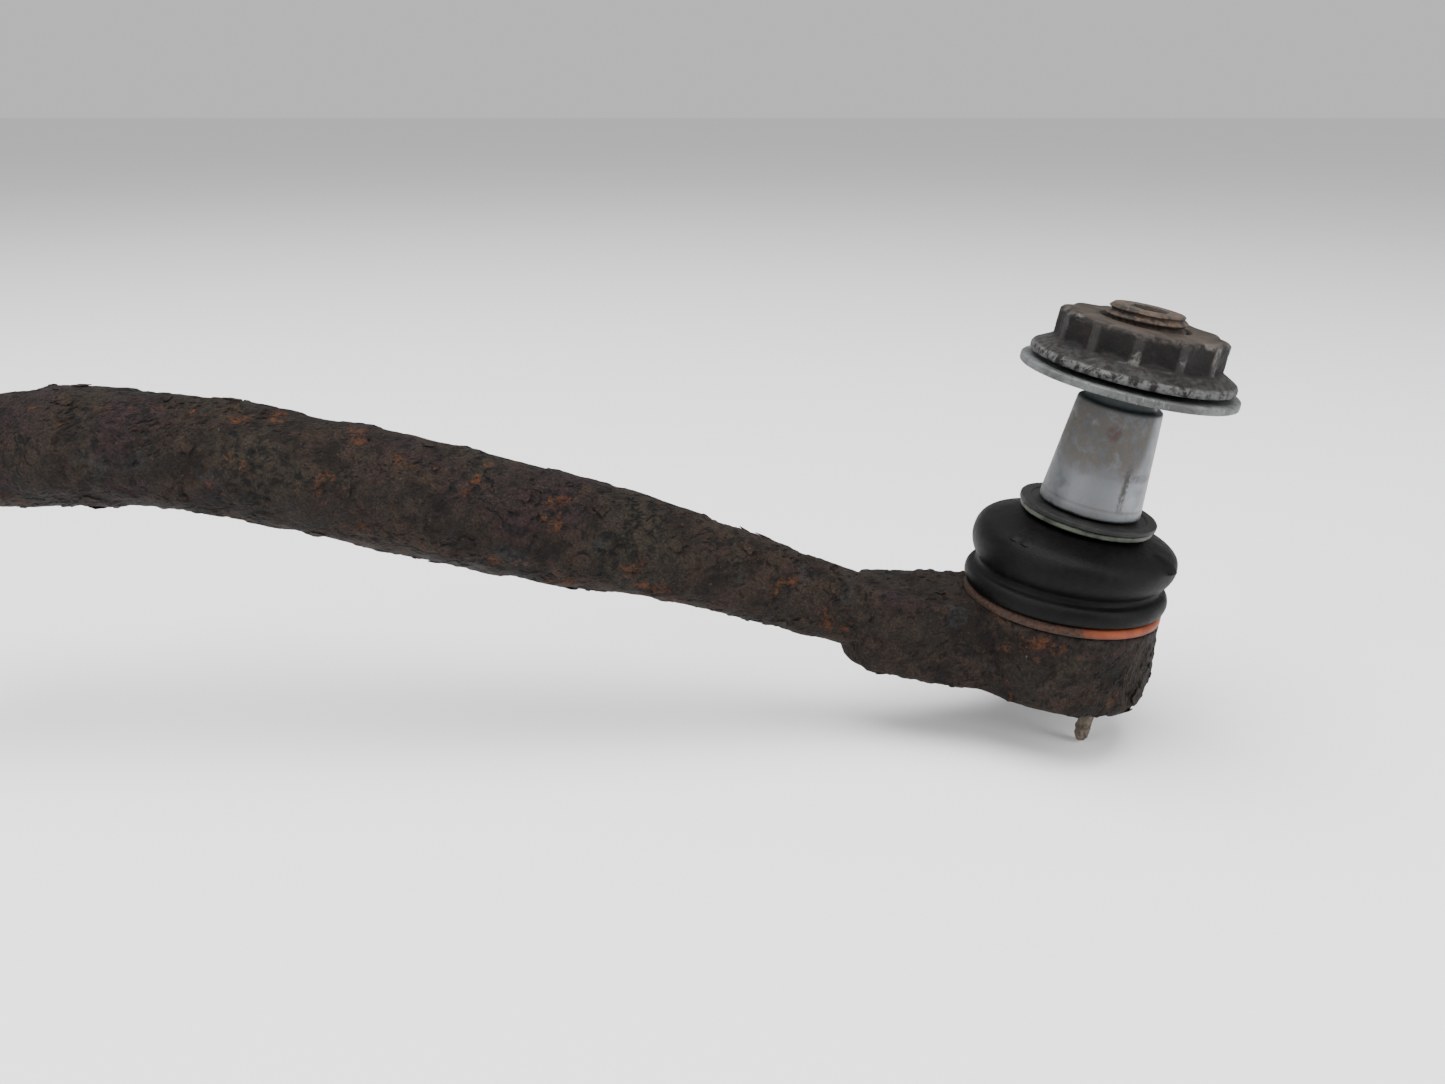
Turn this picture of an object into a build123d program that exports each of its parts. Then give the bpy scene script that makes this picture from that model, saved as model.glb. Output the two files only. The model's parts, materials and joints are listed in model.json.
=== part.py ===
"""Arched tie rod end: forged shank and ball housing, ball stud, rubber boot, flange nut and captive washer.

Millimetres. The origin is on the axis of the threaded socket, where its thread begins inside the mouth's
chamfer. +X runs along the shank towards the ball, +Z is the side that the stud stands on, and the shank
lies in the XZ plane.
"""

import os
from math import cos, radians, sin, tan

from build123d import *

os.makedirs("parts", exist_ok=True)

# ---- Driving dimensions -------------------------------------------------------------------------

# Shank centre line, from the start of the socket's thread to its end inside the housing
ball_reach = 222.0  # start of the thread to ball centre, along X
socket_straight = 27.5  # straight run behind the start of the thread
socket_pitch = 6.0  # degrees that the socket climbs towards the crest
crest_radius = 160.0
shank_fall = 13.3  # degrees that the sloping run falls
neck_fall = 19.0  # degrees that the neck falls
neck_bend_radius = 150.0
neck_straight = 38.0
root_back = 28.0  # end of the centre line, behind the ball centre
root_drop = 7.1  # and below it

# Shank thickness, and how far back from the end of the centre line it is reached
socket_diameter = 20.0
belly_diameter = 21.2
belly_back = 109.0
taper_start_diameter = 20.2
taper_start_back = 68.0
taper_middle_diameter = 16.0
taper_middle_back = 38.0
neck_diameter = 13.4
neck_back = 12.0
root_diameter = 12.0

# Internal thread of the socket, at its minor diameter, and the wrench hexagon round it
socket_bore_radius = 6.19
socket_thread_length = 38.8
socket_chamfer = 1.2  # at the mouth, in front of the thread
wrench_flats = 22.0
wrench_length = 13.0
wrench_chamfer = 1.0

# Ball housing, on an axis that leans towards +X
housing_lean = 6.0  # degrees
housing_radius = 18.1
housing_corner = 2.0
ball_height = 1.1  # ball centre above the housing's top face
lug_far_back = 32.0
lug_far_radius = 7.6
lug_near_back = 12.0
lug_near_radius = 11.5
lug_blend = 6.0
lug_edge = 0.7
collar_wall = 2.45  # round the bearing bore
collar_height = 7.4
lip_groove_depth = 1.0
lip_groove_low = 2.4
lip_groove_high = 5.8

# Ball, its two bearing shells and the mouth of the housing
ball_radius = 10.8
ball_clearance = 0.05
shell_wall = 1.7
shell_split = 0.3
upper_shell_top = 5.2  # above the ball centre
lower_shell_floor = 0.8  # from the bottom of the ball to the end of the lower shell
lower_shell_hole = 5.6
mouth_lap = 0.1  # by which the mouth is narrower than the ball
mouth_flare = 1.0

# Closed end of the housing
spring_gap = 0.1
spring_thickness = 0.8
spring_dish = 0.7
spring_width = 4.8
spring_side_gap = 1.55  # between the spring and the bearing bore
plate_thickness = 2.0
plate_lap = 0.9  # how far the plate reaches past the bearing bore
plate_dome = 0.5
plate_dome_radius = 8.0
rolled_lip_thickness = 1.3
rolled_lip_lap = 0.8
seal_section = 0.45  # section radius of the sealing ring
sprue_radius = 1.5
sprue_tip_radius = 1.2
sprue_length = 10.0
sprue_along = 7.5
sprue_across = -6.0

# Ball stud, measured along its axis from the ball centre
stud_lean_x = 10.6  # degrees towards +X, at rest
stud_lean_y = -1.3  # degrees towards +Y, at rest
ball_flat_cut = 0.9  # off the bottom of the ball
stud_neck_radius = 6.0
seat_start = 18.0
seat_length = 19.6
seat_large_radius = 9.2
seat_shoulder = 0.5  # from the small end of the seat in to the thread
seat_lead = 0.5
thread_radius = 7.0
thread_relief_depth = 0.9
thread_relief_length = 1.5
stud_length = 54.4
thread_chamfer = 0.9
key_flats = 6.0
key_depth = 4.5

# Ring and clamp at the top of the boot
seal_ring_radius = 12.4
seal_ring_thickness = 1.0
seal_ring_edge = 0.25
seat_shadow_gap = 0.3  # between the seal ring and the tapered seat
clamp_ring_radius = 12.0
clamp_ring_height = 1.0
clamp_ring_wall = 1.1
clamp_ring_edge = 0.33
clamp_gap = 0.1  # between the clamp ring and the seal ring
ring_gap = 0.3

# Boot and the two rings at its foot
orange_ring_height = 1.6
orange_ring_edge = 0.2
boot_wall = 1.4
boot_neck_drop = 2.8  # from the outside of the shoulder to well inside the boot
boot_gap = 0.3
boot_foot_wall = 1.77
boot_band_swell = 1.0  # past the foot
boot_band_height = 3.6
boot_waist_gap = 0.4  # between the waist and the collar
boot_waist_height = 6.9
boot_bulge_swell = 1.6  # past the waist
boot_bulge_height = 11.3
lip_ring_wall = 1.5

# Captive washer and flange nut
washer_radius = 19.1
washer_thickness = 1.4
washer_edge = 0.45
washer_low = 41.3
washer_neck_radius = 9.2
washer_neck_height = 1.0
nut_gap = 0.9  # between the washer and the nut's flange
nut_flange_radius = 17.9
nut_flange_edge = 1.3
nut_flange_height = 3.4
nut_point_radius = 14.9
nut_turn_at_rest = 10.0  # degrees
nut_height = 8.4
nut_chamfer = 0.9  # at the bore
nut_corner_in = 1.8  # turned off the points at the top
nut_corner_drop = 0.45
nut_flange_run = 0.9  # from the points in to the top of the flange's slope
nut_recess_depth = 1.4
thread_clearance = 0.06
captive_clearance = 0.35
seat_fit = 0.03  # between pieces that are seated on each other

# ---- Axes and the sizes that follow ----------------------------------------------------------------

# The sloping run takes up what the other stretches of the centre line leave of the reach.
hexagon_sides = 6
hexagon_half_side = 180 / hexagon_sides  # degrees
pitch, fall, neck = radians(socket_pitch), radians(shank_fall), radians(neck_fall)
fixed_reach = (
    socket_straight * cos(pitch)
    + crest_radius * (sin(pitch) + sin(fall))
    + neck_bend_radius * (sin(neck) - sin(fall))
    + neck_straight * cos(neck)
    + root_back
)
slope_length = (ball_reach - fixed_reach) / cos(fall)

with BuildLine(Plane.XZ) as centre_line:
    socket_mouth = (-socket_chamfer * cos(pitch), -socket_chamfer * sin(pitch))
    socket_run = PolarLine(socket_mouth, socket_chamfer + socket_straight, socket_pitch)
    crest = JernArc(socket_run @ 1, socket_run % 1, crest_radius, -(socket_pitch + shank_fall))
    slope_run = Line(crest @ 1, crest @ 1 + (crest % 1) * slope_length)
    neck_bend = JernArc(slope_run @ 1, slope_run % 1, neck_bend_radius, -(neck_fall - shank_fall))
    neck_run = Line(neck_bend @ 1, neck_bend @ 1 + (neck_bend % 1) * neck_straight)
spine = centre_line.wire()

ball_centre = spine @ 1 + Vector(root_back, 0, root_drop)
lean = radians(housing_lean)
housing_up = Vector(sin(lean), 0, cos(lean))
housing_ahead = Vector(cos(lean), 0, -sin(lean))
stud_up = Vector(tan(radians(stud_lean_x)), tan(radians(stud_lean_y)), 1).normalized()


def section_plane(base):
    """The plane through a base plane's axis, with X outwards and Y along the axis."""
    return Plane(origin=base.origin, x_dir=base.x_dir, z_dir=-base.y_dir)


# The housing's top face, and the stud's plane through the ball centre
top_face = Plane(ball_centre - housing_up * ball_height, x_dir=housing_ahead, z_dir=housing_up)
stud_plane = Plane(ball_centre, x_dir=housing_ahead - stud_up * housing_ahead.dot(stud_up), z_dir=stud_up)
housing_section = section_plane(top_face)
stud_section = section_plane(stud_plane)
housing_axis = Axis(top_face.origin, housing_up)
stud_axis = Axis(ball_centre, stud_up)

# Heights in the housing are above its top face, and negative below it.
cup_radius = ball_radius + ball_clearance
bore_radius = cup_radius + shell_wall
collar_radius = bore_radius + collar_wall
mouth_radius = ball_radius - mouth_lap
lower_shell_depth = ball_radius + lower_shell_floor
ball_flat = ball_radius - ball_flat_cut
spring_outer_radius = bore_radius - spring_side_gap
spring_inner_radius = spring_outer_radius - spring_width
upper_shell_z = ball_height + upper_shell_top
lower_shell_z = ball_height - lower_shell_depth
plate_top = lower_shell_z - spring_thickness - spring_dish - 2 * spring_gap
plate_bottom = plate_top - plate_thickness
plate_radius = bore_radius + plate_lap
housing_bottom = plate_bottom - rolled_lip_thickness
seal_pocket_top = plate_top + 2 * seal_section + seat_fit
lip_ring_inner = collar_radius - lip_groove_depth + ring_gap
lip_ring_outer = lip_ring_inner + lip_ring_wall
boot_foot_inner = lip_ring_outer + seat_fit
boot_foot_radius = boot_foot_inner + boot_foot_wall
boot_band_radius = boot_foot_radius + boot_band_swell
boot_waist_radius = collar_radius + boot_waist_gap + boot_wall
boot_bulge_radius = boot_waist_radius + boot_bulge_swell

seal_ring_top = seat_start - seat_shadow_gap
seal_ring_low = seal_ring_top - seal_ring_thickness
clamp_ring_top = seal_ring_low - clamp_gap
clamp_ring_low = clamp_ring_top - clamp_ring_height
seat_top = seat_start + seat_length
seat_small_radius = thread_radius + seat_shoulder
thread_relief_radius = thread_radius - thread_relief_depth
nut_low = washer_low + washer_thickness + nut_gap
nut_top = nut_low + nut_height
nut_bore_radius = thread_radius + thread_clearance


def ring_profile(inner, outer, low, high, mode=Mode.ADD):
    """A rectangle in a section plane, from an inner to an outer radius and between two heights."""
    with Locations(((inner + outer) / 2, (low + high) / 2)):
        Rectangle(outer - inner, high - low, mode=mode)


def outline(*points):
    """A closed face through points of a section plane."""
    with BuildLine() as border:
        Polyline(*points, close=True)
    make_face(border.edges())


def rim_edges(ring):
    """The two widest round edges of a ring."""
    return ring.edges().filter_by(GeomType.CIRCLE).sort_by(SortBy.RADIUS)[-2:]


# ---- Forging: shank, ball housing and collar ----------------------------------------------------------

mouth_plane = Plane(spine @ 0, x_dir=(0, 1, 0), z_dir=spine % 0)
mouth_axis = Axis(mouth_plane.origin, mouth_plane.z_dir)
wrench_corner = wrench_flats / 2 / cos(radians(hexagon_half_side))

# Wrench hexagon round the mouth of the socket, its corners turned down at both ends
with BuildPart() as wrench_hexagon:
    with BuildSketch(mouth_plane):
        RegularPolygon(wrench_flats / 2, hexagon_sides, major_radius=False)
    extrude(amount=wrench_length)
    with BuildSketch(section_plane(mouth_plane)):
        outline(
            (0, 0),
            (wrench_corner - wrench_chamfer, 0),
            (wrench_corner, wrench_chamfer),
            (wrench_corner, wrench_length - wrench_chamfer),
            (wrench_corner - wrench_chamfer, wrench_length),
            (0, wrench_length),
        )
    revolve(axis=mouth_axis, mode=Mode.INTERSECT)

# Housing block: a round head with a lug that runs back into the neck
with BuildPart() as housing_block:
    with BuildSketch(top_face):
        with Locations((-lug_near_back, 0)):
            Circle(lug_near_radius)
        with Locations((-lug_far_back, 0)):
            Circle(lug_far_radius)
        make_hull()
        Circle(housing_radius)
    extrude(amount=housing_bottom)
    lug_roots = housing_block.edges().filter_by(housing_axis).filter_by(
        lambda e: abs((e.center() - top_face.origin).cross(housing_up).length - housing_radius) < seat_fit
    )
    fillet(lug_roots, lug_blend)
    fillet(housing_block.faces().sort_by(housing_axis)[-1].edges(), lug_edge)
    fillet(housing_block.faces().sort_by(housing_axis)[0].edges(), housing_corner)


def shank_plane(back):
    """The plane across the shank, a distance back along the centre line from its end."""
    along = 1 - back / spine.length
    return Plane(spine @ along, x_dir=(0, 1, 0), z_dir=spine % along)


socket_back = spine.length - socket_straight
shank_sections = (
    (spine.length, socket_diameter),
    (socket_back, socket_diameter),
    ((socket_back + belly_back) / 2, (socket_diameter + belly_diameter) / 2),
    (belly_back, belly_diameter),
    (taper_start_back, taper_start_diameter),
    (taper_middle_back, taper_middle_diameter),
    (neck_back, neck_diameter),
    (0, root_diameter),
)

with BuildPart() as forged_body:
    # Shank, thickest past the crest and drawn down to the neck
    for back, diameter in shank_sections:
        with BuildSketch(shank_plane(back)):
            Circle(diameter / 2)
    loft()
    add(wrench_hexagon.part)
    add(housing_block.part)

    # Collar with a groove that holds the foot of the boot
    with BuildSketch(housing_section):
        ring_profile(0, collar_radius, housing_bottom / 2, collar_height)
        groove_bottom = collar_radius - lip_groove_depth
        ring_profile(groove_bottom, collar_radius, lip_groove_low, lip_groove_high, Mode.SUBTRACT)
    revolve(axis=housing_axis)

    # Threaded bore of the socket, with a chamfer at its mouth
    with BuildSketch(section_plane(mouth_plane)):
        ring_profile(0, socket_bore_radius, 0, socket_chamfer + socket_thread_length)
        outline(
            (0, 0),
            (socket_bore_radius + socket_chamfer, 0),
            (socket_bore_radius, socket_chamfer),
            (0, socket_chamfer),
        )
    revolve(axis=mouth_axis, mode=Mode.SUBTRACT)

    # Bearing bore: straight from the closed end, round over the ball, then the open mouth
    with BuildSketch(housing_section):
        with Locations((0, ball_height)):
            Circle(bore_radius)
        ring_profile(0, bore_radius, housing_bottom, ball_height)
        ring_profile(0, bore_radius, housing_bottom, upper_shell_z, Mode.INTERSECT)
        ring_profile(0, plate_radius, housing_bottom, seal_pocket_top)
        ring_profile(plate_radius - rolled_lip_lap, plate_radius, housing_bottom, plate_bottom, Mode.SUBTRACT)
        ring_profile(0, mouth_radius, upper_shell_z, collar_height)
        outline(
            (0, collar_height - mouth_flare),
            (mouth_radius, collar_height - mouth_flare),
            (mouth_radius + mouth_flare, collar_height),
            (0, collar_height),
        )
    revolve(axis=housing_axis, mode=Mode.SUBTRACT)

# ---- Bearing shells, spring, closing plate, sealing ring and sprue ----------------------------------


def bearing_shell(low, high):
    """The wall between the ball and the bearing bore, from one height to another above the top face."""
    with BuildSketch(housing_section) as wall:
        with Locations((0, ball_height)):
            Circle(bore_radius - seat_fit)
        ring_profile(0, bore_radius - seat_fit, low - bore_radius, ball_height)
        ring_profile(0, bore_radius, low, high, Mode.INTERSECT)
        with Locations((0, ball_height)):
            Circle(cup_radius, mode=Mode.SUBTRACT)
    revolve(wall.sketch, axis=housing_axis)


with BuildPart() as upper_bearing_shell:
    bearing_shell(ball_height + shell_split / 2, upper_shell_z - seat_fit)

with BuildPart() as lower_bearing_shell:
    bearing_shell(lower_shell_z, ball_height - shell_split / 2)
    with BuildSketch(housing_section):
        ring_profile(0, lower_shell_hole, lower_shell_z, ball_height)
    revolve(axis=housing_axis, mode=Mode.SUBTRACT)

with BuildPart() as preload_spring:
    with BuildSketch(housing_section):
        spring_low = plate_top + spring_gap
        outline(
            (spring_inner_radius, spring_low + spring_dish),
            (spring_outer_radius, spring_low),
            (spring_outer_radius, spring_low + spring_thickness),
            (spring_inner_radius, spring_low + spring_dish + spring_thickness),
        )
    revolve(axis=housing_axis)

sprue_plane = Plane(
    top_face.from_local_coords((sprue_along, sprue_across, plate_top)), x_dir=top_face.x_dir, z_dir=-top_face.z_dir
)

with BuildPart() as closing_plate:
    with BuildSketch(housing_section):
        outline(
            (0, plate_top),
            (plate_radius - seat_fit, plate_top),
            (plate_radius - seat_fit, plate_bottom + seat_fit),
            (plate_dome_radius, plate_bottom + seat_fit),
            (plate_dome_radius - plate_dome, plate_bottom - plate_dome),
            (0, plate_bottom - plate_dome),
        )
    revolve(axis=housing_axis)
    with BuildSketch(sprue_plane):
        Circle(sprue_radius + seat_fit)
    extrude(amount=rolled_lip_thickness - housing_bottom, mode=Mode.SUBTRACT)

with BuildPart() as sealing_ring:
    with BuildSketch(housing_section):
        with Locations((plate_radius - seal_section - seat_fit, plate_top + seal_section + seat_fit)):
            Circle(seal_section)
    revolve(axis=housing_axis)

with BuildPart() as sprue_plug:
    with BuildSketch(section_plane(sprue_plane)):
        sprue_root = plate_top - housing_bottom
        outline(
            (0, seat_fit),
            (sprue_radius, seat_fit),
            (sprue_radius, sprue_root),
            (sprue_tip_radius, sprue_root + sprue_length),
            (0, sprue_root + sprue_length),
        )
    revolve(axis=Axis(sprue_plane.origin, sprue_plane.z_dir))

# ---- Ball stud --------------------------------------------------------------------------------------

with BuildPart() as ball_stud:
    with BuildSketch(stud_section):
        Circle(ball_radius)
        ring_profile(0, ball_radius, -ball_flat, ball_radius, Mode.INTERSECT)
        ring_profile(0, stud_neck_radius, 0, seat_start + seat_lead)
        outline(
            (0, seat_start),
            (seat_large_radius - seat_lead, seat_start),
            (seat_large_radius, seat_start + seat_lead),
            (seat_small_radius, seat_top - seat_lead),
            (seat_small_radius - seat_lead, seat_top),
            (0, seat_top),
        )
        ring_profile(0, thread_relief_radius, seat_start, stud_length)
        thread_low = seat_top + thread_relief_length
        outline(
            (0, thread_low - thread_radius + thread_relief_radius),
            (thread_relief_radius, thread_low - thread_radius + thread_relief_radius),
            (thread_radius, thread_low),
            (thread_radius, stud_length - thread_chamfer),
            (thread_radius - thread_chamfer, stud_length),
            (0, stud_length),
        )
    revolve(axis=stud_axis)
    with BuildSketch(stud_plane.offset(stud_length)):
        RegularPolygon(key_flats / 2, hexagon_sides, major_radius=False)
    extrude(amount=-key_depth, mode=Mode.SUBTRACT)

# ---- Rings that hold the boot ----------------------------------------------------------------------------

with BuildPart() as orange_ring:
    with BuildSketch(housing_section):
        ring_profile(collar_radius + seat_fit, housing_radius, seat_fit, orange_ring_height)
    revolve(axis=housing_axis)
    chamfer(rim_edges(orange_ring), orange_ring_edge)

with BuildPart() as boot_foot_ring:
    with BuildSketch(housing_section):
        ring_profile(lip_ring_inner, lip_ring_outer, lip_groove_low + ring_gap, lip_groove_high - ring_gap)
    revolve(axis=housing_axis)

with BuildPart() as boot_clamp_ring:
    with BuildSketch(stud_section):
        ring_profile(clamp_ring_radius - clamp_ring_wall, clamp_ring_radius, clamp_ring_low, clamp_ring_top)
    revolve(axis=stud_axis)
    fillet(rim_edges(boot_clamp_ring), clamp_ring_edge)

with BuildPart() as seal_ring:
    with BuildSketch(stud_section):
        ring_profile(stud_neck_radius + ring_gap, seal_ring_radius, seal_ring_low, seal_ring_top)
    revolve(axis=stud_axis)
    fillet(rim_edges(seal_ring), seal_ring_edge)

# ---- Boot: a convoluted sleeve from the housing's axis to the stud's -----------------------------------


boot_low = orange_ring_height + ring_gap
boot_neck_on_stud = clamp_ring_low - boot_gap
boot_neck_low = boot_neck_on_stud + ball_height
boot_neck_radius = clamp_ring_radius - clamp_ring_wall - ring_gap
boot_neck_inner = stud_neck_radius + ring_gap


def boot_plane(height):
    """The plane across the boot at a height. Its axis turns from the housing's to the stud's."""
    turned = max(0, (height - lip_groove_high) / (boot_neck_low - lip_groove_high))
    on_housing = top_face.origin + housing_up * height
    on_stud = ball_centre + stud_up * (height - ball_height)
    middle = on_housing * (1 - turned) + on_stud * turned
    return Plane(middle, x_dir=(0, 1, 0), z_dir=housing_up * (1 - turned) + stud_up * turned)


boot_outside = (
    (boot_low, boot_foot_radius),
    (boot_band_height, boot_band_radius),
    ((boot_band_height + boot_waist_height) / 2, boot_band_radius - boot_gap),
    (boot_waist_height, boot_waist_radius),
    (boot_bulge_height, boot_bulge_radius),
    (boot_neck_low, clamp_ring_radius),
)
boot_inside = (
    (boot_low, boot_foot_inner),
    (lip_groove_high, boot_foot_inner),
    (boot_waist_height, boot_waist_radius - boot_wall),
    (boot_bulge_height, boot_bulge_radius - boot_wall),
    (boot_neck_low - boot_wall, clamp_ring_radius - boot_wall),
)

with BuildPart() as boot:
    for height, radius in boot_outside:
        with BuildSketch(boot_plane(height)):
            Circle(radius)
    loft(ruled=True)
    with BuildSketch(stud_plane.offset(boot_neck_on_stud)):
        Circle(boot_neck_radius)
    extrude(amount=clamp_ring_top - boot_neck_on_stud)
    for height, radius in boot_inside:
        with BuildSketch(boot_plane(height)):
            Circle(radius)
    loft(ruled=True, mode=Mode.SUBTRACT)
    with BuildSketch(stud_plane.offset(boot_neck_on_stud - boot_neck_drop)):
        Circle(boot_neck_inner)
    extrude(amount=seat_start, mode=Mode.SUBTRACT)

# ---- Captive washer and flange nut --------------------------------------------------------------------

with BuildPart() as captive_washer:
    with BuildSketch(stud_section):
        washer_top = washer_low + washer_thickness
        ring_profile(nut_bore_radius + captive_clearance, washer_radius, washer_low, washer_top)
        ring_profile(
            nut_bore_radius + captive_clearance, washer_neck_radius, washer_top, nut_low + washer_neck_height
        )
    revolve(axis=stud_axis)
    fillet(rim_edges(captive_washer), washer_edge)

with BuildPart() as flange_nut:
    with BuildSketch(stud_plane.offset(nut_low)):
        for turn in (0, hexagon_half_side):
            RegularPolygon(nut_point_radius, hexagon_sides, rotation=nut_turn_at_rest + turn)
    extrude(amount=nut_height)
    with BuildSketch(stud_section):
        outline(
            (0, nut_low),
            (nut_point_radius, nut_low),
            (nut_point_radius, nut_top - nut_corner_drop),
            (nut_point_radius - nut_corner_in, nut_top),
            (0, nut_top),
        )
    revolve(axis=stud_axis, mode=Mode.INTERSECT)
    with BuildSketch(stud_section):
        outline(
            (0, nut_low),
            (nut_flange_radius, nut_low),
            (nut_flange_radius, nut_low + nut_flange_edge),
            (nut_point_radius - nut_flange_run, nut_low + nut_flange_height),
            (0, nut_low + nut_flange_height),
        )
    revolve(axis=stud_axis)
    with BuildSketch(stud_section):
        ring_profile(0, nut_bore_radius, nut_low, nut_top)
        ring_profile(0, washer_neck_radius + captive_clearance, nut_low, nut_low + nut_recess_depth)
        outline(
            (0, nut_top - nut_chamfer),
            (nut_bore_radius, nut_top - nut_chamfer),
            (nut_bore_radius + nut_chamfer, nut_top),
            (0, nut_top),
        )
    revolve(axis=stud_axis, mode=Mode.SUBTRACT)

# ---- Write each piece ---------------------------------------------------------------------------------

pieces = {
    "forged_body": forged_body,
    "upper_bearing_shell": upper_bearing_shell,
    "lower_bearing_shell": lower_bearing_shell,
    "preload_spring": preload_spring,
    "closing_plate": closing_plate,
    "sealing_ring": sealing_ring,
    "sprue_plug": sprue_plug,
    "ball_stud": ball_stud,
    "orange_ring": orange_ring,
    "boot_foot_ring": boot_foot_ring,
    "boot": boot,
    "boot_clamp_ring": boot_clamp_ring,
    "seal_ring": seal_ring,
    "captive_washer": captive_washer,
    "flange_nut": flange_nut,
}
for name, piece in pieces.items():
    piece.part.label = name
    export_step(piece.part, f"parts/{name}.step")

print("ball centre", ball_centre)
print("stud axis", stud_up)
print("housing axis", housing_up)
print("stud tilt at rest, degrees", housing_up.get_angle(stud_up))
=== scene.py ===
import json
from math import ceil, cos, pi, radians, sin

import bmesh
import bpy
import numpy as np
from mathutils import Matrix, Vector, noise


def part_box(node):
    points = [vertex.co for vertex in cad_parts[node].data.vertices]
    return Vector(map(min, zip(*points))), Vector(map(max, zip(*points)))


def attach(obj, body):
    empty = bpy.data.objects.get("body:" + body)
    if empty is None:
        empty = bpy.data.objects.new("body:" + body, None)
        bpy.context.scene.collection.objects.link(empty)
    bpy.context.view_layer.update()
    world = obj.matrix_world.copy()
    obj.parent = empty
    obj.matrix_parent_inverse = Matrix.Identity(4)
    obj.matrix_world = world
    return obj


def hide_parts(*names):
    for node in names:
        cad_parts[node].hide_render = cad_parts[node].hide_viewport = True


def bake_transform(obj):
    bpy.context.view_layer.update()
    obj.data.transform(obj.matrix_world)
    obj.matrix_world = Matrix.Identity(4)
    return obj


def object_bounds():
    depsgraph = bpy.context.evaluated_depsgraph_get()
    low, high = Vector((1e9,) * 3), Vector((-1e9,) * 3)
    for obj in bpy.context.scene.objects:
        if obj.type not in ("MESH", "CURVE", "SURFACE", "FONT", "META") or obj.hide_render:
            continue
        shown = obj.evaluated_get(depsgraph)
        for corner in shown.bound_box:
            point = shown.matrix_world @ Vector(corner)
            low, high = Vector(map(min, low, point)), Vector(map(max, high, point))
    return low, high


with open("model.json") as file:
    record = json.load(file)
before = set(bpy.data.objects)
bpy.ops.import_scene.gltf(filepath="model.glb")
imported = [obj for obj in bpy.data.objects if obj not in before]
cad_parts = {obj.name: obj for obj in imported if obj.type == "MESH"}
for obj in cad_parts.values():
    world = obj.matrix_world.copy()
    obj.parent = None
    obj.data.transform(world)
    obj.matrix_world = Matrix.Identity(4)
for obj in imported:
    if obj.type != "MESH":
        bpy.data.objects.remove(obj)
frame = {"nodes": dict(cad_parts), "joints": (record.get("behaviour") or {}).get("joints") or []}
cad_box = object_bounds()

# ---- Studio -----------------------------------------------------------------------------------------
# A plain pale floor just under the lowest piece, a pale surround, and soft panels above, so that the dark
# rusted steel reads against it. The camera stands close in front of the shank and looks down about 20 degrees.

camera_place = (0.1585, -0.2170, 0.0637)
camera_tilt = 70.2
camera_lens = 31.14
floor_gap = 0.0005
floor_size = 6.0
floor_colour = (0.86, 0.86, 0.87, 1)
surround_strength = 0.75

camera = bpy.data.objects.new("camera", bpy.data.cameras.new("camera"))
camera.location = camera_place
camera.rotation_euler = (radians(camera_tilt), 0, 0)
camera.data.lens = camera_lens
camera.data.clip_start = 0.01
bpy.context.scene.collection.objects.link(camera)
bpy.context.scene.camera = camera

world = bpy.data.worlds.new("surround")
world.use_nodes = True
world.node_tree.nodes["Background"].inputs["Color"].default_value = floor_colour
world.node_tree.nodes["Background"].inputs["Strength"].default_value = surround_strength
bpy.context.scene.world = world


def panel(name, place, aim, width, height, watts):
    """A soft rectangular light that faces a point."""
    lamp = bpy.data.lights.new(name, "AREA")
    lamp.shape = "RECTANGLE"
    lamp.size, lamp.size_y, lamp.energy = width, height, watts
    holder = bpy.data.objects.new(name, lamp)
    holder.location = place
    holder.rotation_euler = (Vector(aim) - Vector(place)).to_track_quat("-Z", "Y").to_euler()
    bpy.context.scene.collection.objects.link(holder)


middle = (0.12, 0, -0.01)
panel("panel_above", (0.05, -0.1, 0.8), middle, 0.9, 0.7, 17)
panel("panel_left", (-0.6, -0.5, 0.45), middle, 0.5, 0.5, 5)
panel("panel_right", (0.75, -0.35, 0.3), middle, 0.3, 0.5, 4)


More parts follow.
